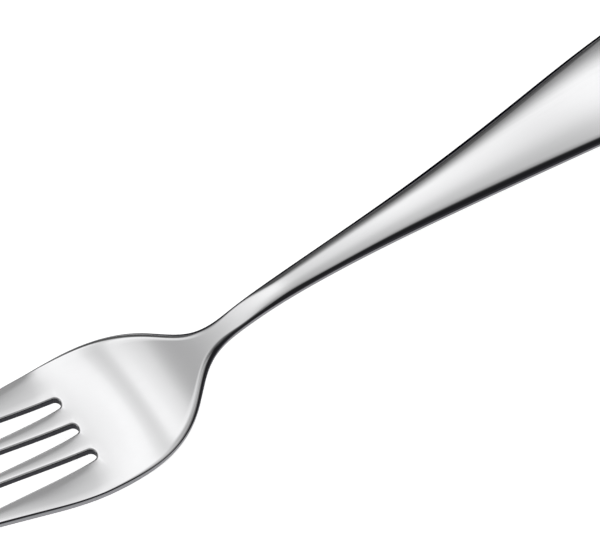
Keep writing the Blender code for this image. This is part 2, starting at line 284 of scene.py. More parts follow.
class ForkSizes(bpy.types.PropertyGroup):
    """Sizes of the fork."""

    length: FloatProperty(
        name="Length",
        description="From the tine tips to the handle's end",
        default=CAD_HIGH.x - CAD_LOW.x,
        unit="LENGTH",
        subtype="DISTANCE",
    )
    head_width: FloatProperty(
        name="Head width",
        description="Across the head at its widest",
        default=24.1 * MM,
        unit="LENGTH",
        subtype="DISTANCE",
    )
    handle_width: FloatProperty(
        name="Handle width",
        description="Across the handle at its widest",
        default=20.4 * MM,
        unit="LENGTH",
        subtype="DISTANCE",
    )
    neck_width: FloatProperty(
        name="Neck width",
        description="Across the neck at its slimmest",
        default=3.7 * MM,
        unit="LENGTH",
        subtype="DISTANCE",
    )
    tine_length: FloatProperty(
        name="Tine length",
        description="From the tips to the ends of the slots",
        default=23.7 * MM,
        unit="LENGTH",
        subtype="DISTANCE",
    )
    tine_pitch: FloatProperty(
        name="Tine pitch",
        description="From one slot's middle to the next slot's middle",
        default=5.15 * MM,
        unit="LENGTH",
        subtype="DISTANCE",
    )
    inner_tip_width: FloatProperty(
        name="Inner tip width",
        description="Width of an inner tine at its tip",
        default=1.1 * MM,
        unit="LENGTH",
        subtype="DISTANCE",
    )
    outer_tip_width: FloatProperty(
        name="Outer tip width",
        description="Width of an outer tine at its tip",
        default=1.5 * MM,
        unit="LENGTH",
        subtype="DISTANCE",
    )
    slot_end_width: FloatProperty(
        name="Slot end width",
        description="Width of a slot at its round end",
        default=1.9 * MM,
        unit="LENGTH",
        subtype="DISTANCE",
    )
    tip_rise: FloatProperty(
        name="Tip rise",
        description="Height of the tips' underside above the table",
        default=12.48 * MM,
        unit="LENGTH",
        subtype="DISTANCE",
    )
    neck_rise: FloatProperty(
        name="Neck rise",
        description="Height of the neck's underside above the table",
        default=6.0 * MM,
        unit="LENGTH",
        subtype="DISTANCE",
    )
    arch_rise: FloatProperty(
        name="Arch rise",
        description="Height of the highest part of the arch between head and handle",
        default=7.3 * MM,
        unit="LENGTH",
        subtype="DISTANCE",
    )


class SteelFinish(bpy.types.PropertyGroup):
    """Finish of the steel, with painted reflections in some of its colours."""

    polished: FloatVectorProperty(
        name="Polished faces",
        description="Colour of the polished faces",
        default=linear("dcdcdd"),
        size=4,
        min=0,
        max=1,
        subtype="COLOR",
    )
    # Painted dark reflection on the steep part of the edges' rounding
    rounding: FloatVectorProperty(
        name="Edge rounding",
        description="Colour of the steep part of the rounding, where the polish ends",
        default=linear("303033"),
        size=4,
        min=0,
        max=1,
        subtype="COLOR",
    )
    # Painted darker reflection at a low angle, on the handle's rounding and the slot
    # walls
    low_angle_painted_shade: FloatVectorProperty(
        name="Worn steel at a low angle",
        description="Tint of the handle's rounding and the slot walls at a low angle",
        default=linear("8c8c8f"),
        size=4,
        min=0,
        max=1,
        subtype="COLOR",
    )
    # Painted grey reflection on the outer edge's wall, which is also rougher than the
    # faces
    edge: FloatVectorProperty(
        name="Outer edge",
        description="Colour of the outer edge, which is tumbled and not polished",
        default=linear("77777b"),
        size=4,
        min=0,
        max=1,
        subtype="COLOR",
    )
    # Painted dark reflection on the slot walls, which are also rough
    slot: FloatVectorProperty(
        name="Slot walls",
        description="Colour of the walls between the tines, which stay as they were cut",
        default=linear("3b3b3e"),
        size=4,
        min=0,
        max=1,
        subtype="COLOR",
    )
    polish_roughness: FloatProperty(
        name="Polish roughness",
        description="Roughness of the polished faces",
        default=0.13,
        min=0,
        max=1,
        subtype="FACTOR",
    )
    edge_roughness: FloatProperty(
        name="Edge roughness",
        description="Roughness of the edges and the slot walls",
        default=0.32,
        min=0,
        max=1,
        subtype="FACTOR",
    )
    line_spacing: FloatProperty(
        name="Polishing line spacing",
        description="Distance between the fine lines of the polish, coarser than real",
        default=0.35 * MM,
        unit="LENGTH",
        subtype="DISTANCE",
    )


class StageLook(bpy.types.PropertyGroup):
    """Floor, light and camera."""

    floor: FloatVectorProperty(
        name="Floor",
        description="Colour of the floor",
        default=linear("e6e6e6"),
        size=4,
        min=0,
        max=1,
        subtype="COLOR",
    )
    floor_lift: FloatProperty(
        name="Floor lift",
        description="How far the floor's own colour is raised towards white",
        default=0.72,
        min=0,
    )
    light_level: FloatProperty(
        name="Light level",
        description="Brightness of the softbox overhead",
        default=1.38,
        min=0,
    )
    azimuth: FloatProperty(
        name="Camera azimuth",
        description="Direction that the camera looks from, round the fork",
        default=math.radians(-34.46),
        unit="ROTATION",
        subtype="ANGLE",
    )
    elevation: FloatProperty(
        name="Camera elevation",
        description="Height of the camera above the table, as an angle",
        default=math.radians(67),
        unit="ROTATION",
        subtype="ANGLE",
    )
    distance: FloatProperty(
        name="Camera distance",
        description="From the camera to the point that it looks at",
        default=520.6 * MM,
        unit="LENGTH",
        subtype="DISTANCE",
    )
    lens: FloatProperty(
        name="Lens",
        description="Focal length on a sensor 36 mm wide",
        default=198,
        min=1,
        unit="CAMERA",
        subtype="DISTANCE_CAMERA",
    )
    seen_x: FloatProperty(
        name="Looked-at point along",
        description="Place of the point at the picture's centre, along the fork",
        default=-16.67 * MM,
        unit="LENGTH",
        subtype="DISTANCE",
    )
    seen_z: FloatProperty(
        name="Looked-at point height",
        description="Height of the point at the picture's centre above the table",
        default=9.07 * MM,
        unit="LENGTH",
        subtype="DISTANCE",
    )
    floor_half: FloatProperty(
        name="Floor half size",
        description="Half the side of the floor",
        default=4.0,
        min=1.0,
        unit="LENGTH",
        subtype="DISTANCE",
    )


def smooth_curve(stations):
    """The curve of least bending through (x, value) stations, as a function of x."""
    x, value = np.array(stations, float).T
    gap = np.diff(x)
    slope = np.diff(value) / gap
    matrix = np.eye(len(x))
    right = np.zeros(len(x))
    for k in range(1, len(x) - 1):
        matrix[k, k - 1 : k + 2] = gap[k - 1], 2 * (gap[k - 1] + gap[k]), gap[k]
        right[k] = 6 * (slope[k] - slope[k - 1])
    bend = np.linalg.solve(matrix, right)

    @functools.lru_cache(maxsize=None)
    def curve(at):
        k = min(max(bisect.bisect_right(x, at) - 1, 0), len(gap) - 1)
        before = at - x[k]
        after = x[k + 1] - at
        cubic = (bend[k] * after**3 + bend[k + 1] * before**3) / (6 * gap[k])
        start = (value[k] / gap[k] - bend[k] * gap[k] / 6) * after
        end = (value[k + 1] / gap[k] - bend[k + 1] * gap[k] / 6) * before
        return float(cubic + start + end)

    return curve


def curve_through(places, shapes):
    """A smooth curve through main (x, value) places, shaped by shares between them."""
    stations = [places[0]]
    for (x0, v0), (x1, v1), shares in zip(places, places[1:], shapes):
        for way, part in shares:
            stations.append((x0 + way * (x1 - x0), v0 + part * (v1 - v0)))
        stations.append((x1, v1))
    return smooth_curve(stations)


def ease(share):
    """A share from 0 to 1, with a soft start and end."""
    share = min(max(share, 0), 1)
    return share * share * (3 - 2 * share)


def evenly(start, end, step):
    """Places from start to end, with both of them, no further apart than step."""
    return list(np.linspace(start, end, max(math.ceil((end - start) / step), 1) + 1))


def on_circle(across, along):
    """Takes a point of a square's ring to the same ring as a circle, for along >= 0."""
    ring = max(abs(across), along)
    if ring == 0:
        return 0.0, 0.0
    if abs(across) >= along:
        angle = math.radians(90 - 45 * along / abs(across))
    else:
        angle = math.radians(45 * abs(across) / along)
    return math.copysign(ring * math.sin(angle), across), ring * math.cos(angle)


# A rounded edge turns from the upright wall, at 90 degrees, through a tight corner and
# then a wide arc to the face, at 0. The corner takes these shares of the rounding's width
# and height
CORNER_DEGREES = 46
CORNER_TURN = math.radians(CORNER_DEGREES)
CORNER_WIDTH = 0.045
CORNER_HEIGHT = 0.215


def edge_ring(turn):
    """Inset and fall of a rounded edge's ring, as shares, where it has turned so far."""
    if turn >= CORNER_TURN:
        inset = CORNER_WIDTH * (1 - math.sin(turn)) / (1 - math.sin(CORNER_TURN))
        return inset, 1 - CORNER_HEIGHT * math.cos(turn) / math.cos(CORNER_TURN)
    inset = 1 - (1 - CORNER_WIDTH) * math.sin(turn) / math.sin(CORNER_TURN)
    return inset, (1 - CORNER_HEIGHT) * (1 - math.cos(turn)) / (1 - math.cos(CORNER_TURN))


# Rings of points on a rounded edge, each with its turn, where 1 is upright, and its
# share of the rounding's width and height
RING_DEGREES = (90, 68, CORNER_DEGREES, 38, 29, 20, 10, 0)
RING_ANGLES = [math.radians(angle) for angle in RING_DEGREES]
RING_TURN = [angle / RING_ANGLES[0] for angle in RING_ANGLES]
RING_INSET, RING_FALL = zip(*(edge_ring(angle) for angle in RING_ANGLES))
EDGE_RINGS = len(RING_ANGLES)

# Rows of the blank's grid, from the centre line to the rim: half the middle slot, an
# inner tine, an outer slot and an outer tine, each as its first and last row
TINE_ROWS = 2 * (EDGE_RINGS - 1) + TINE_MIDDLE_ROWS
INNER_TINE = (SLOT_ROWS, SLOT_ROWS + TINE_ROWS)
OUTER_SLOT = (INNER_TINE[1], INNER_TINE[1] + 2 * SLOT_ROWS)
OUTER_TINE = (OUTER_SLOT[1], OUTER_SLOT[1] + TINE_ROWS)
EDGE_ROW = OUTER_TINE[1]
SHOULDER_ROW = EDGE_ROW - EDGE_RINGS + 1


def ring_insets(width, room):
    """Distances of an edge's rings from the edge, where half the piece is room wide."""
    return [inset * min(width, MOST_EDGE_SHARE * room) for inset in RING_INSET]


class ForkShape:
    """Where each point of the fork's blank lies, and how high it is pressed.

    A point of the blank's grid is named by its column along the fork and its row across.
    """

    def __init__(self, sizes):
        self.sizes = sizes
        self.tip = -sizes.length / 2
        self.end = sizes.length / 2
        self.slot_end = self.tip + sizes.tine_length
        self.slot_centre = self.slot_end - sizes.slot_end_width / 2
        self.heel = self.slot_end + SLOT_END_TO_HEEL
        self.neck = self.heel + HEEL_TO_NECK
        self.arch = self.neck + NECK_TO_ARCH
        self.widest = self.end - HANDLE_END_ROUNDING
        self.reach = sizes.tine_pitch / 2
        self.slot_tip_width = sizes.tine_pitch - sizes.inner_tip_width
        tip_half = sizes.tine_pitch + self.slot_tip_width / 2 + sizes.outer_tip_width
        self.half_width = curve_through(
            (
                (self.tip, tip_half),
                (self.slot_end + SLOT_END_TO_WIDEST_HEAD, sizes.head_width / 2),
                (self.neck, sizes.neck_width / 2),
                (self.widest, sizes.handle_width / 2),
                (self.end, sizes.handle_width / 2),
            ),
            (TINE_OUTLINE, HEEL_OUTLINE, HANDLE_OUTLINE, ()),
        )
        self.underside = curve_through(
            (
                (self.tip, sizes.tip_rise),
                (self.heel, 0.0),
                (self.neck, sizes.neck_rise),
                (self.arch, sizes.arch_rise),
                (self.end - HANDLE_END_FLAT, 0.0),
                (self.end, 0.0),
            ),
            (TINE_PROFILE, HEEL_PROFILE, (), HANDLE_PROFILE, ()),
        )
        places = (
            (self.tip, TIP_SECTION),
            (self.tip + TINE_SECTION_SHARE * sizes.tine_length, TINE_SECTION),
            (self.slot_end, SLOT_END_SECTION),
            (self.heel, HEEL_SECTION),
            (self.heel + THROAT_SHARE * (self.neck - self.heel), THROAT_SECTION),
            (self.neck, NECK_SECTION),
            (self.neck + NECK_TO_NAPE, NAPE_SECTION),
            (self.arch, ARCH_SECTION),
            (self.arch + ARCH_TO_SHAFT, SHAFT_SECTION),
            (self.widest, HANDLE_SECTION),
            (self.end, HANDLE_SECTION),
        )
        self.section_curves = [
            smooth_curve([(x, section[size]) for x, section in places])
            for size in range(len(Section._fields))
        ]
        self.lay_columns(sizes)

    def lay_columns(self, sizes):
        """Sets the columns: rings round the tips, straight ones, and the end's rings."""
        self.tines_start = self.tip + sizes.outer_tip_width / 2
        tines = evenly(self.tines_start, self.slot_centre, TINE_STEP)
        slot_half = sizes.slot_end_width / 2
        inside = [
            self.slot_centre + slot_half * k / SLOT_ROWS for k in range(1, SLOT_ROWS)
        ]
        edge = [self.slot_centre + slot_half + i * SLOT_EDGE_RADIUS for i in RING_INSET]
        past = evenly(edge[-1], self.slot_centre + self.reach, SLOT_END_STEP)[1:]
        heel = evenly(self.slot_centre + self.reach, self.neck, HEEL_STEP)[1:]
        handle = evenly(self.neck, self.widest, HANDLE_STEP)[1:]
        self.straight = tines + inside + edge + past + heel + handle
        self.last_slot = EDGE_RINGS + len(tines) + SLOT_ROWS - 1
        self.handle_end = EDGE_RINGS + len(self.straight)
        handle_half = sizes.handle_width / 2
        insets = ring_insets(HANDLE_SECTION.shoulder_width, handle_half)
        rim = [1 - inset / handle_half for inset in reversed(insets)]
        end_step = HANDLE_END_STEP / HANDLE_END_ROUNDING
        self.end_rings = evenly(0, rim[0], end_step)[1:-1] + rim
        self.last_column = self.handle_end + len(self.end_rings) - 1

    @functools.lru_cache(maxsize=None)
    def section(self, x):
        """The cross-section at x, between the named ones."""
        return Section(*(curve(x) for curve in self.section_curves))

    def slot_half(self, x):
        """Half a slot's width. It grows to the tips, and faster beside the round end."""
        share = max(self.slot_centre - x, 0) / (self.slot_centre - self.tip)
        end_width = self.sizes.slot_end_width
        return (end_width + (self.slot_tip_width - end_width) * share**SLOT_FLARE) / 2

    def tine_rows(self, inner, outer, inner_rounding, outer_rounding):
        """Distances of a tine's rows: rounded inner edge, middle, rounded outer edge."""
        room = (outer - inner) / 2
        rising = [inner + inset for inset in ring_insets(inner_rounding, room)]
        falling = [outer - inset for inset in ring_insets(outer_rounding, room)][::-1]
        middle = np.linspace(rising[-1], falling[0], TINE_MIDDLE_ROWS + 1)[1:-1]
        return rising + list(middle) + falling

    def slotted_rows(self, x):
        """Distances of all rows from the centre line, where slots and tines set them."""
        slot = self.slot_half(x)
        pitch = self.sizes.tine_pitch
        shoulder = self.section(x).shoulder_width
        rim = self.half_width(x)
        inner = self.tine_rows(slot, pitch - slot, SLOT_EDGE_RADIUS, SLOT_EDGE_RADIUS)
        outer = self.tine_rows(pitch + slot, rim, SLOT_EDGE_RADIUS, shoulder)
        middle_slot = np.linspace(0, slot, SLOT_ROWS + 1)[:-1]
        outer_slot = np.linspace(pitch - slot, pitch + slot, 2 * SLOT_ROWS + 1)[1:-1]
        return [*middle_slot, *inner, *outer_slot, *outer]

    @functools.lru_cache(maxsize=None)
    def rows(self, x):
        """Distances of all rows from the centre line at x, even ones from the neck on."""
        slots_reach = self.slot_centre + self.reach
        if x <= slots_reach:
            return self.slotted_rows(x)
        edge = self.half_width(x)
        insets = ring_insets(self.section(x).shoulder_width, edge)
        rim = [edge - inset for inset in insets]
        slotted = self.slotted_rows(slots_reach)
        even = ease((x - slots_reach) / (self.neck - slots_reach))
        shares = [
            (1 - even) * slotted[row] / slotted[SHOULDER_ROW] + even * row / SHOULDER_ROW
            for row in range(SHOULDER_ROW)
        ]
        return [share * rim[-1] for share in shares] + rim[::-1]

    def around_slot_end(self, x, y, centre_y):
        """Bends the rows and columns near a slot's end round the end's half circle."""
        along = x - self.slot_centre
        across = y - centre_y
        ring = max(abs(across), along)
        if along <= 0 or ring >= self.reach:
            return x, y
        rounded = self.sizes.slot_end_width / 2 + SLOT_EDGE_RADIUS
        straight = ease((ring - rounded) / (self.reach - rounded))
        round_across, round_along = on_circle(across, along)
        x = self.slot_centre + straight * along + (1 - straight) * round_along
        return x, centre_y + straight * across + (1 - straight) * round_across

    def tip_place(self, column, row):
        """Place of a grid point in the rings round a tine's tip."""
        rows = self.rows(self.tines_start)
        first, last = INNER_TINE if row <= INNER_TINE[1] else OUTER_TINE
        middle = (rows[first] + rows[last]) / 2
        half = (rows[last] - rows[first]) / 2
        ring = 1 - ring_insets(SLOT_EDGE_RADIUS, half)[column] / half
        across, along = on_circle((rows[row] - middle) / half, ring)
        return self.tip + half * (1 - along), middle + half * across

    def place(self, column, row):
        """Place of a grid point in the flat blank."""
        if column < EDGE_RINGS:
            return self.tip_place(column, row)
        if column >= self.handle_end:
            half = self.sizes.handle_width / 2
            share = self.rows(self.widest)[row] / half
            across, along = on_circle(share, self.end_rings[column - self.handle_end])
            return self.widest + HANDLE_END_ROUNDING * along, half * across
        x = self.straight[column - EDGE_RINGS]
        y = self.rows(x)[row]
        for centre_y in (0.0, self.sizes.tine_pitch):
            x, y = self.around_slot_end(x, y, centre_y)
        return x, y

    def tine_crown(self, x, y):
        """How far a tine's upper face has fallen, from the middle of its width to y."""
        fade = ease((self.slot_end + TINE_CROWN_PAST_SLOT - x) / TINE_CROWN_FADE)
        if fade == 0:
            return 0.0
        pitch = self.sizes.tine_pitch
        inner = self.slot_half(x)
        outer = pitch - inner
        if y > pitch:
            inner = pitch + self.slot_half(x)
            outer = self.half_width(x)
        across = min(abs(2 * y - inner - outer) / (outer - inner), 1)
        return TINE_CROWN * across**2 * fade

    def turns(self, column, row):
        """Rings between a grid point and the upright wall of the rim and of a slot."""
        rim_ring = min(EDGE_ROW - row, self.last_column - column)
        past_end = column - self.last_slot
        from_middle = max(row - SLOT_ROWS, past_end, 0)
        from_outer = max(OUTER_SLOT[0] - row, row - OUTER_SLOT[1], past_end, 0)
        cut_ring = min(from_middle, from_outer, column)
        return rim_ring, cut_ring

    def heights(self, column, row, x, y):
        """Lowest and highest point of the pressed fork over a point of the blank."""
        if x > self.widest:
            across = 2 * y / self.sizes.handle_width
            outward = math.hypot((x - self.widest) / HANDLE_END_ROUNDING, across)
        else:
            outward = y / self.half_width(x)
        here = self.section(x)
        upper = lower = 0.0
        rim_ring, cut_ring = self.turns(column, row)
        if rim_ring < EDGE_RINGS:
            upper = RING_FALL[rim_ring] * here.shoulder_height
            lower = RING_FALL[rim_ring] * LOWER_EDGE_RADIUS
        if cut_ring < EDGE_RINGS:
            upper = max(upper, RING_FALL[cut_ring] * SLOT_EDGE_RADIUS)
            lower = max(lower, RING_FALL[cut_ring] * LOWER_EDGE_RADIUS)
        base = self.underside(x) - REST_FLAT_DEPTH
        edge = base + here.belly + LOWER_EDGE_RADIUS + here.wall + here.shoulder_height
        low = base + here.belly * outward**2 + lower
        high = edge - here.dish * (1 - outward**2) - upper - self.tine_crown(x, y)
        return max(low, 0.0), high


def cut_blank(shape):
    """Half of the flat blank on one side of the centre line, with its slots taken out."""
    blank = bmesh.new()
    column_of = blank.verts.layers.int.new("column")
    row_of = blank.verts.layers.int.new("row")
    rim_turn = blank.verts.layers.float.new("rim_turn")
    slot_turn = blank.verts.layers.float.new("slot_turn")
    columns = shape.last_column
    bmesh.ops.create_grid(blank, x_segments=columns, y_segments=EDGE_ROW, size=0.5)
    for vert in blank.verts:
        column = round((vert.co.x + 0.5) * columns)
        row = round((vert.co.y + 0.5) * EDGE_ROW)
        vert.co.xy = shape.place(column, row)
        vert[column_of] = column
        vert[row_of] = row
        rim_ring, cut_ring = shape.turns(column, row)
        vert[rim_turn] = RING_TURN[rim_ring] if rim_ring < EDGE_RINGS else 0.0
        vert[slot_turn] = RING_TURN[cut_ring] if cut_ring < EDGE_RINGS else 0.0
    in_slots = []
    for face in blank.faces:
        rows = [vert[row_of] for vert in face.verts]
        in_middle = max(rows) <= SLOT_ROWS
        in_outer = min(rows) >= OUTER_SLOT[0] and max(rows) <= OUTER_SLOT[1]
        before_end = max(vert[column_of] for vert in face.verts) <= shape.last_slot
        if before_end and (in_middle or in_outer):
            in_slots.append(face)
    bmesh.ops.delete(blank, geom=in_slots, context="FACES")
    return blank


def press(blank, shape):
    """Gives the blank its thickness and its pressed form, and adds its other half."""
    column_of = blank.verts.layers.int["column"]
    row_of = blank.verts.layers.int["row"]
    raised = bmesh.ops.extrude_face_region(blank, geom=blank.faces[:])["geom"]
    upper = {item for item in raised if isinstance(item, bmesh.types.BMVert)}
    # The half stays open at the centre line, where the mirrored half joins it
    on_plane = [
        face for face in blank.faces if all(vert[row_of] == 0 for vert in face.verts)
    ]
    bmesh.ops.delete(blank, geom=on_plane, context="FACES")
    for vert in blank.verts:
        low, high = shape.heights(vert[column_of], vert[row_of], vert.co.x, vert.co.y)
        vert.co.z = high if vert in upper else low
    bmesh.ops.mirror(
        blank,
        geom=blank.verts[:] + blank.edges[:] + blank.faces[:],
        axis="Y",
        merge_dist=MERGE_DISTANCE,
    )
    bmesh.ops.recalc_face_normals(blank, faces=blank.faces[:])
    blank.normal_update()
    for name in ("column", "row"):
        layers = blank.verts.layers.int
        layers.remove(layers[name])
    # The extrusion makes the walls' faces in an order that differs from run to run
    in_order = sorted(blank.faces, key=lambda face: face.calc_center_median()[:])
    rank = {face: place for place, face in enumerate(in_order)}
    blank.faces.sort(key=rank.get)


def mark_edges(blank):
    """Sharpens the wall's lower corner and reads the roundings' turn off the surface."""
    for edge in blank.edges:
        facing = [face.normal.z for face in edge.link_faces]
        edge.smooth = not (abs(max(facing)) < UPRIGHT and min(facing) < -UPRIGHT)
    for name in ("rim_turn", "slot_turn"):
        turn = blank.verts.layers.float[name]
        for vert in blank.verts:
            if 0 < vert[turn] < 1 and vert.normal.z > 0:
                vert[turn] = 1 - math.asin(vert.normal.z) / (math.pi / 2)
            elif vert[turn] > 0:
                vert[turn] = 1.0


def add(tree, kind, values=None, links=None, **settings):
    """A new node, with its settings, the values of its sockets and the links to them."""
    node = tree.nodes.new(kind)
    for name, value in settings.items():
        setattr(node, name, value)
    for socket, value in (values or {}).items():
        node.inputs[socket].default_value = value
    for socket, source in (links or {}).items():
        tree.links.new(source, node.inputs[socket])
    return node


# The sockets that a Mix node has for colours, by their place
MIX_FACTOR, MIX_A, MIX_B, MIX_RESULT = 0, 6, 7, 2


def stainless_steel(finish):
    """Stainless steel, pressed and then polished along its length on the faces.

    The polish gives a soft mirror with faint lines along the fork. The steep part of the
    rounding has a painted dark reflection. The outer edge is only tumbled, so it is
    rougher, and its grey colour is a painted reflection. The walls of the slots, which no
    polishing wheel reaches, are rough, and their dark colour is a painted reflection. The
    handle's rounding and the slot walls also have a painted darker reflection at a low
    angle.
    """
    material = bpy.data.materials.new("polished_stainless_steel")
    material.use_nodes = True
    tree = material.node_tree
    shader = tree.nodes["Principled BSDF"]
    shader.inputs["Metallic"].default_value = 1.0
    rim = add(tree, "ShaderNodeAttribute", attribute_name="rim_turn").outputs["Fac"]
    cut = add(tree, "ShaderNodeAttribute", attribute_name="slot_turn").outputs["Fac"]
    place = add(tree, "ShaderNodeTexCoord").outputs["Object"]
    place_parts = add(tree, "ShaderNodeSeparateXYZ", links={"Vector": place}).outputs
    past_head = add(
        tree,
        "ShaderNodeMapRange",
        values={"From Min": HEAD_TO_HANDLE[0], "From Max": HEAD_TO_HANDLE[1]},
        links={"Value": place_parts["X"]},
        interpolation_type="SMOOTHSTEP",
    )
    # How far the rounding has turned, for its painted dark reflection, which starts a
    # little sooner past the head
    painted_reflection_turn = add(
        tree,
        "ShaderNodeMath",
        values={1: SOONER_PAST_HEAD},
        links={0: past_head.outputs["Result"], 2: rim},
        operation="MULTIPLY_ADD",
    ).outputs[0]
    # Shares of the painted reflections, and of the rougher outer edge and slot walls
    painted_and_rough_shares = []
    for turn, (start, end) in (
        (painted_reflection_turn, PAINTED_DARK_REFLECTION_TURNS),
        (rim, ROUGH_EDGE_AND_PAINTED_REFLECTION),
        (cut, ROUGH_SLOT_AND_PAINTED_SHADE),
    ):
        share = add(
            tree,
            "ShaderNodeMapRange",
            values={"From Min": start, "From Max": end},
            links={"Value": turn},
            interpolation_type="SMOOTHSTEP",
        )
        painted_and_rough_shares.append(share.outputs["Result"])
    on_rounding, on_rim, in_slot = painted_and_rough_shares
    # Colours with painted reflections: dark on the rounding's steep part, grey on the
    # outer edge and dark on the slot walls
    rounding_colour = add(
        tree,
        "ShaderNodeMix",
        values={MIX_A: finish.polished, MIX_B: finish.rounding},
        links={MIX_FACTOR: on_rounding},
        data_type="RGBA",
    )
    rim_colour = add(
        tree,
        "ShaderNodeMix",
        values={MIX_B: finish.edge},
        links={MIX_FACTOR: on_rim, MIX_A: rounding_colour.outputs[MIX_RESULT]},
        data_type="RGBA",
    )
    colour = add(
        tree,
        "ShaderNodeMix",
        values={MIX_B: finish.slot},
        links={MIX_FACTOR: in_slot, MIX_A: rim_colour.outputs[MIX_RESULT]},
        data_type="RGBA",
    )
    tree.links.new(colour.outputs[MIX_RESULT], shader.inputs["Base Color"])

    # A metal's Specular Tint is its colour at a low angle. It is white on the faces
    # On the handle's rounding and the slot walls it is grey, a painted darker reflection
    above_rim = add(
        tree,
        "ShaderNodeMath",
        links={0: on_rounding, 1: on_rim},
        operation="SUBTRACT",
    )
    on_handle_rounding = add(
        tree,
        "ShaderNodeMath",
        links={0: above_rim.outputs[0], 1: past_head.outputs["Result"]},
        operation="MULTIPLY",
    )
    tint_share = add(
        tree,
        "ShaderNodeMath",
        values={1: SLOT_TINT_SHARE},
        links={0: in_slot, 2: on_handle_rounding.outputs[0]},
        operation="MULTIPLY_ADD",
    )
    tint = add(
        tree,
        "ShaderNodeMix",
        values={MIX_A: (1.0, 1.0, 1.0, 1.0), MIX_B: finish.low_angle_painted_shade},
        links={MIX_FACTOR: tint_share.outputs[0]},
        data_type="RGBA",
    )
    tree.links.new(tint.outputs[MIX_RESULT], shader.inputs["Specular Tint"])

    # Fine lines along the fork, centimetres long. The real ones are hundredths of a
    # millimetre apart, too fine to show, so they are drawn tenths of a millimetre apart
    along = 1 / (LINE_LENGTH_IN_SPACINGS * finish.line_spacing)
    across = 1 / finish.line_spacing
    stretched = add(
        tree,
        "ShaderNodeMapping",
        values={"Scale": (along, across, across)},
        links={"Vector": place},
    )
    lines = add(
        tree,
        "ShaderNodeTexNoise",
        values={"Scale": 1.0, "Detail": 3.0, "Roughness": 0.6},
        links={"Vector": stretched.outputs["Vector"]},
    ).outputs["Fac"]
    polish = add(
        tree,
        "ShaderNodeMapRange",
        values={
            "From Min": LINE_NOISE[0],
            "From Max": LINE_NOISE[1],
            "To Min": ROUGHNESS_SPREAD[0] * finish.polish_roughness,
            "To Max": ROUGHNESS_SPREAD[1] * finish.polish_roughness,
        },
        links={"Value": lines},
    )
    unpolished = add(
        tree, "ShaderNodeMath", links={0: on_rim, 1: in_slot}, operation="MAXIMUM"
    )
    roughness = add(
        tree,
        "ShaderNodeMapRange",
        values={"To Max": finish.edge_roughness},
        links={"Value": unpolished.outputs[0], "To Min": polish.outputs["Result"]},
    )
    tree.links.new(roughness.outputs["Result"], shader.inputs["Roughness"])
    grain = add(
        tree,
        "ShaderNodeBump",
        values={"Strength": 0.5, "Distance": LINE_DEPTH},
        links={"Height": lines},
    )
    tree.links.new(grain.outputs["Normal"], shader.inputs["Normal"])
    return material


def floor_material(look):
    """Matt pale paper, which shows as white and keeps the fork's soft shadow.

    It is raised towards white only where it is seen or mirrored, which adds no light to
    anything else.
    """
    material = bpy.data.materials.new("pale_paper_floor")
    material.use_nodes = True
    tree = material.node_tree
    tree.nodes.clear()
    paper = add(tree, "ShaderNodeBsdfDiffuse", values={"Color": look.floor})
    rays = add(tree, "ShaderNodeLightPath")
    seen = add(
        tree,
        "ShaderNodeMath",
        links={0: rays.outputs["Is Camera Ray"], 1: rays.outputs["Is Glossy Ray"]},
        operation="MAXIMUM",
    )
    shown = add(
        tree,
        "ShaderNodeMath",
        links={0: seen.outputs[0], 1: rays.outputs["Is Transmission Ray"]},
        operation="MAXIMUM",
    )
    lift = add(
        tree,
        "ShaderNodeMath",
        values={1: look.floor_lift},
        links={0: shown.outputs[0]},
        operation="MULTIPLY",
    )
    glow = add(tree, "ShaderNodeEmission", links={"Strength": lift.outputs[0]})
    both = add(
        tree, "ShaderNodeAddShader", links={0: paper.outputs[0], 1: glow.outputs[0]}
    )
    add(tree, "ShaderNodeOutputMaterial", links={"Surface": both.outputs[0]})
    return material


def half_turn(degrees):
    """An angle from straight up as a share of the way from one horizon to the other."""
    return (90 + degrees) / 180


def softbox(tree, parts):
    """Soft light from a large softbox overhead, which dims towards the sides.

    It is set by two angles from straight up, one in the plane along the fork and one in
    the plane across it. The parts are those of the direction that the light comes from.
    """
    angles = []
    for part in "XY":
        slope = add(
            tree,
            "ShaderNodeMath",
            links={0: parts[part], 1: parts["Z"]},
            operation="ARCTAN2",
        )
        angles.append(
            add(
                tree,
                "ShaderNodeMapRange",
                values={"From Min": -math.pi / 2, "From Max": math.pi / 2},
                links={"Value": slope.outputs[0]},
            ).outputs["Result"]
        )
    levels = []
    for angle, stops in (
        (angles[0], LIGHT_ALONG),
        (angles[1], LIGHT_ACROSS_THROAT),
        (angles[1], LIGHT_ACROSS_HANDLE),
        (angles[1], LIGHT_ACROSS_TIPS),
    ):
        ramp = add(tree, "ShaderNodeValToRGB", links={"Fac": angle})
        elements = ramp.color_ramp.elements
        while len(elements) < len(stops):
            elements.new(1.0)
        for element, (degrees, level) in zip(elements, stops):
            element.position = half_turn(degrees)
            element.color = (level, level, level, 1.0)
        levels.append(ramp.outputs["Color"])
    along, across, across_handle, across_tips = levels
    for (start, end), level in (
        (THROAT_TO_HANDLE, across_handle),
        (HANDLE_TO_TIPS, across_tips),
    ):
        share = add(
            tree,
            "ShaderNodeMapRange",
            values={"From Min": half_turn(start), "From Max": half_turn(end)},
            links={"Value": angles[0]},
            interpolation_type="SMOOTHSTEP",
        )
        across = add(
            tree,
            "ShaderNodeMix",
            links={MIX_FACTOR: share.outputs["Result"], MIX_A: across, MIX_B: level},
            data_type="RGBA",
        ).outputs[MIX_RESULT]
    light = add(
        tree,
        "ShaderNodeMix",
        values={MIX_FACTOR: 1.0},
        links={MIX_A: along, MIX_B: across},
        data_type="RGBA",
        blend_type="MULTIPLY",
    )
    return light.outputs[MIX_RESULT]


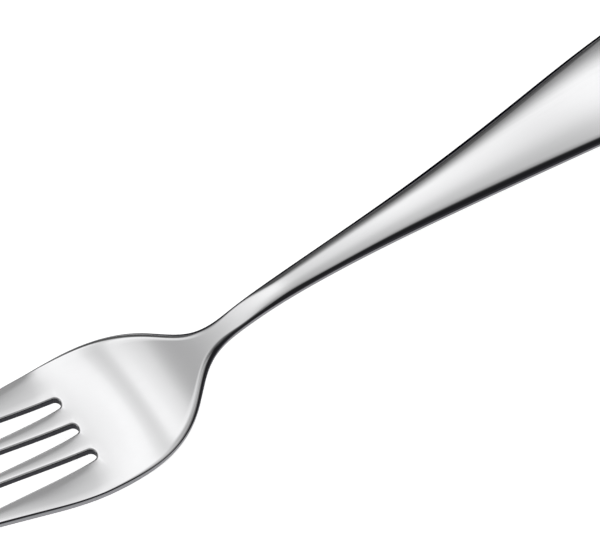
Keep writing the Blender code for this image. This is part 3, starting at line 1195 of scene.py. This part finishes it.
def studio_walls(tree, parts):
    """The studio's grey walls round the fork, as a level that is 0 above them.

    The parts are those of the direction that the light comes from.
    """
    # The walls' level round the fork, with the gap in it
    round_fork = add(
        tree,
        "ShaderNodeMath",
        links={0: parts["X"], 1: parts["Y"]},
        operation="ARCTAN2",
    )
    from_gap = add(
        tree,
        "ShaderNodeMath",
        values={1: GAP_MIDDLE},
        links={0: round_fork.outputs[0]},
        operation="SUBTRACT",
    )
    off_gap = add(
        tree, "ShaderNodeMath", links={0: from_gap.outputs[0]}, operation="ABSOLUTE"
    )
    beside_gap = add(
        tree,
        "ShaderNodeMapRange",
        values={"From Min": GAP_HALF[0], "From Max": GAP_HALF[1], "To Max": WALL_LEVEL},
        links={"Value": off_gap.outputs[0]},
        interpolation_type="SMOOTHSTEP",
    )
    # Their upper end, where a direction counts as lower if they reach higher there
    from_high_wall = add(
        tree,
        "ShaderNodeMath",
        values={1: HIGH_WALL_MIDDLE},
        links={0: round_fork.outputs[0]},
        operation="SUBTRACT",
    )
    off_high_wall = add(
        tree, "ShaderNodeMath", links={0: from_high_wall.outputs[0]}, operation="ABSOLUTE"
    )
    lowered = add(
        tree,
        "ShaderNodeMapRange",
        values={
            "From Min": HIGH_WALL_HALF[0],
            "From Max": HIGH_WALL_HALF[1],
            "To Min": -HIGH_WALL_EXTRA,
            "To Max": 0.0,
        },
        links={"Value": off_high_wall.outputs[0]},
        interpolation_type="SMOOTHSTEP",
    )
    height = add(
        tree,
        "ShaderNodeMath",
        links={0: parts["Z"], 1: lowered.outputs["Result"]},
        operation="ADD",
    )
    wall = add(
        tree,
        "ShaderNodeMapRange",
        values={"From Min": WALL_TOP[0], "From Max": WALL_TOP[1], "To Max": 0.0},
        links={"Value": height.outputs[0], "To Min": beside_gap.outputs["Result"]},
        interpolation_type="SMOOTHSTEP",
    )
    return wall.outputs["Result"]


def studio_light(look):
    """Light of a studio: a softbox overhead, grey walls and a pale horizon."""
    world = bpy.data.worlds.new("studio")
    world.use_nodes = True
    tree = world.node_tree
    tree.nodes.clear()
    towards = add(tree, "ShaderNodeTexCoord").outputs["Generated"]
    parts = add(tree, "ShaderNodeSeparateXYZ", links={"Vector": towards}).outputs
    lit = add(
        tree,
        "ShaderNodeMix",
        values={MIX_FACTOR: 1.0},
        links={MIX_A: softbox(tree, parts), MIX_B: studio_walls(tree, parts)},
        data_type="RGBA",
        blend_type="LIGHTEN",
    )
    # The horizon is as pale as the floor shows, so that the two join without a line
    horizon = add(
        tree,
        "ShaderNodeMapRange",
        values={"From Min": PALE_HORIZON[0], "From Max": PALE_HORIZON[1]},
        links={"Value": parts["Z"]},
        interpolation_type="SMOOTHSTEP",
    )
    sky = add(
        tree,
        "ShaderNodeMix",
        values={MIX_A: (1 / look.light_level,) * 3 + (1.0,)},
        links={MIX_FACTOR: horizon.outputs["Result"], MIX_B: lit.outputs[MIX_RESULT]},
        data_type="RGBA",
    )
    background = add(
        tree,
        "ShaderNodeBackground",
        values={"Strength": look.light_level},
        links={"Color": sky.outputs[MIX_RESULT]},
    )
    add(tree, "ShaderNodeOutputWorld", links={"Surface": background.outputs[0]})
    return world


class FRUITFORK_OT_make_fork(bpy.types.Operator):
    """Makes the fork: cuts its blank, presses it and gives it its polished steel."""

    bl_idname = "fruit_fork.make_fork"
    bl_label = "Make Fork"

    def execute(self, context):
        scene = context.scene
        shape = ForkShape(scene.fork_sizes)
        blank = cut_blank(shape)
        press(blank, shape)
        mark_edges(blank)
        if not all(edge.is_manifold for edge in blank.edges):
            raise RuntimeError("These sizes leave a gap in the fork's surface")
        mesh = bpy.data.meshes.new("fork_polished")
        blank.to_mesh(mesh)
        blank.free()
        fork = bpy.data.objects.new("fork_polished", mesh)
        scene.collection.objects.link(fork)
        mesh.materials.append(stainless_steel(scene.steel_finish))
        mesh.shade_smooth()
        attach(fork, "root")
        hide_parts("fork")
        return {"FINISHED"}


class FRUITFORK_OT_set_stage(bpy.types.Operator):
    """Sets the pale floor, the studio light and the camera."""

    bl_idname = "fruit_fork.set_stage"
    bl_label = "Set Stage"

    def execute(self, context):
        scene = context.scene
        look = scene.stage_look

        ground = bmesh.new()
        bmesh.ops.create_grid(ground, x_segments=1, y_segments=1, size=look.floor_half)
        mesh = bpy.data.meshes.new("floor")
        ground.to_mesh(mesh)
        ground.free()
        floor = bpy.data.objects.new("floor", mesh)
        scene.collection.objects.link(floor)
        mesh.materials.append(floor_material(look))

        scene.world = studio_light(look)
        scene.view_settings.view_transform = "Standard"

        # The camera looks back along the direction from the looked-at point to itself
        level = math.cos(look.elevation)
        outward = Vector(
            (
                math.sin(look.azimuth) * level,
                -math.cos(look.azimuth) * level,
                math.sin(look.elevation),
            )
        )
        camera = bpy.data.cameras.new("camera")
        camera.lens = look.lens
        camera.clip_start = 10 * MM
        eye = bpy.data.objects.new("camera", camera)
        eye.location = Vector((look.seen_x, 0.0, look.seen_z)) + look.distance * outward
        eye.rotation_euler = outward.to_track_quat("Z", "Y").to_euler()
        scene.collection.objects.link(eye)
        scene.camera = eye
        return {"FINISHED"}


class FRUITFORK_PT_panel(bpy.types.Panel):
    """Lists the fork's sizes, its finish and the stage."""

    bl_idname = "FRUITFORK_PT_panel"
    bl_label = "Fruit Fork"
    bl_space_type = "VIEW_3D"
    bl_region_type = "UI"
    bl_category = "Fruit Fork"

    def draw(self, context):
        groups = (
            (context.scene.fork_sizes, FRUITFORK_OT_make_fork),
            (context.scene.steel_finish, None),
            (context.scene.stage_look, FRUITFORK_OT_set_stage),
        )
        for group, operator in groups:
            column = self.layout.column()
            for name in group.__annotations__:
                column.prop(group, name)
            if operator:
                column.operator(operator.bl_idname)


CLASSES = (
    ForkSizes,
    SteelFinish,
    StageLook,
    FRUITFORK_OT_make_fork,
    FRUITFORK_OT_set_stage,
    FRUITFORK_PT_panel,
)


def register():
    for item in CLASSES:
        bpy.utils.register_class(item)
    bpy.types.Scene.fork_sizes = PointerProperty(type=ForkSizes)
    bpy.types.Scene.steel_finish = PointerProperty(type=SteelFinish)
    bpy.types.Scene.stage_look = PointerProperty(type=StageLook)


def unregister():
    del bpy.types.Scene.stage_look
    del bpy.types.Scene.steel_finish
    del bpy.types.Scene.fork_sizes
    for item in reversed(CLASSES):
        bpy.utils.unregister_class(item)


def main():
    register()
    bpy.ops.fruit_fork.make_fork()
    bpy.ops.fruit_fork.set_stage()


if __name__ == "__main__":
    main()
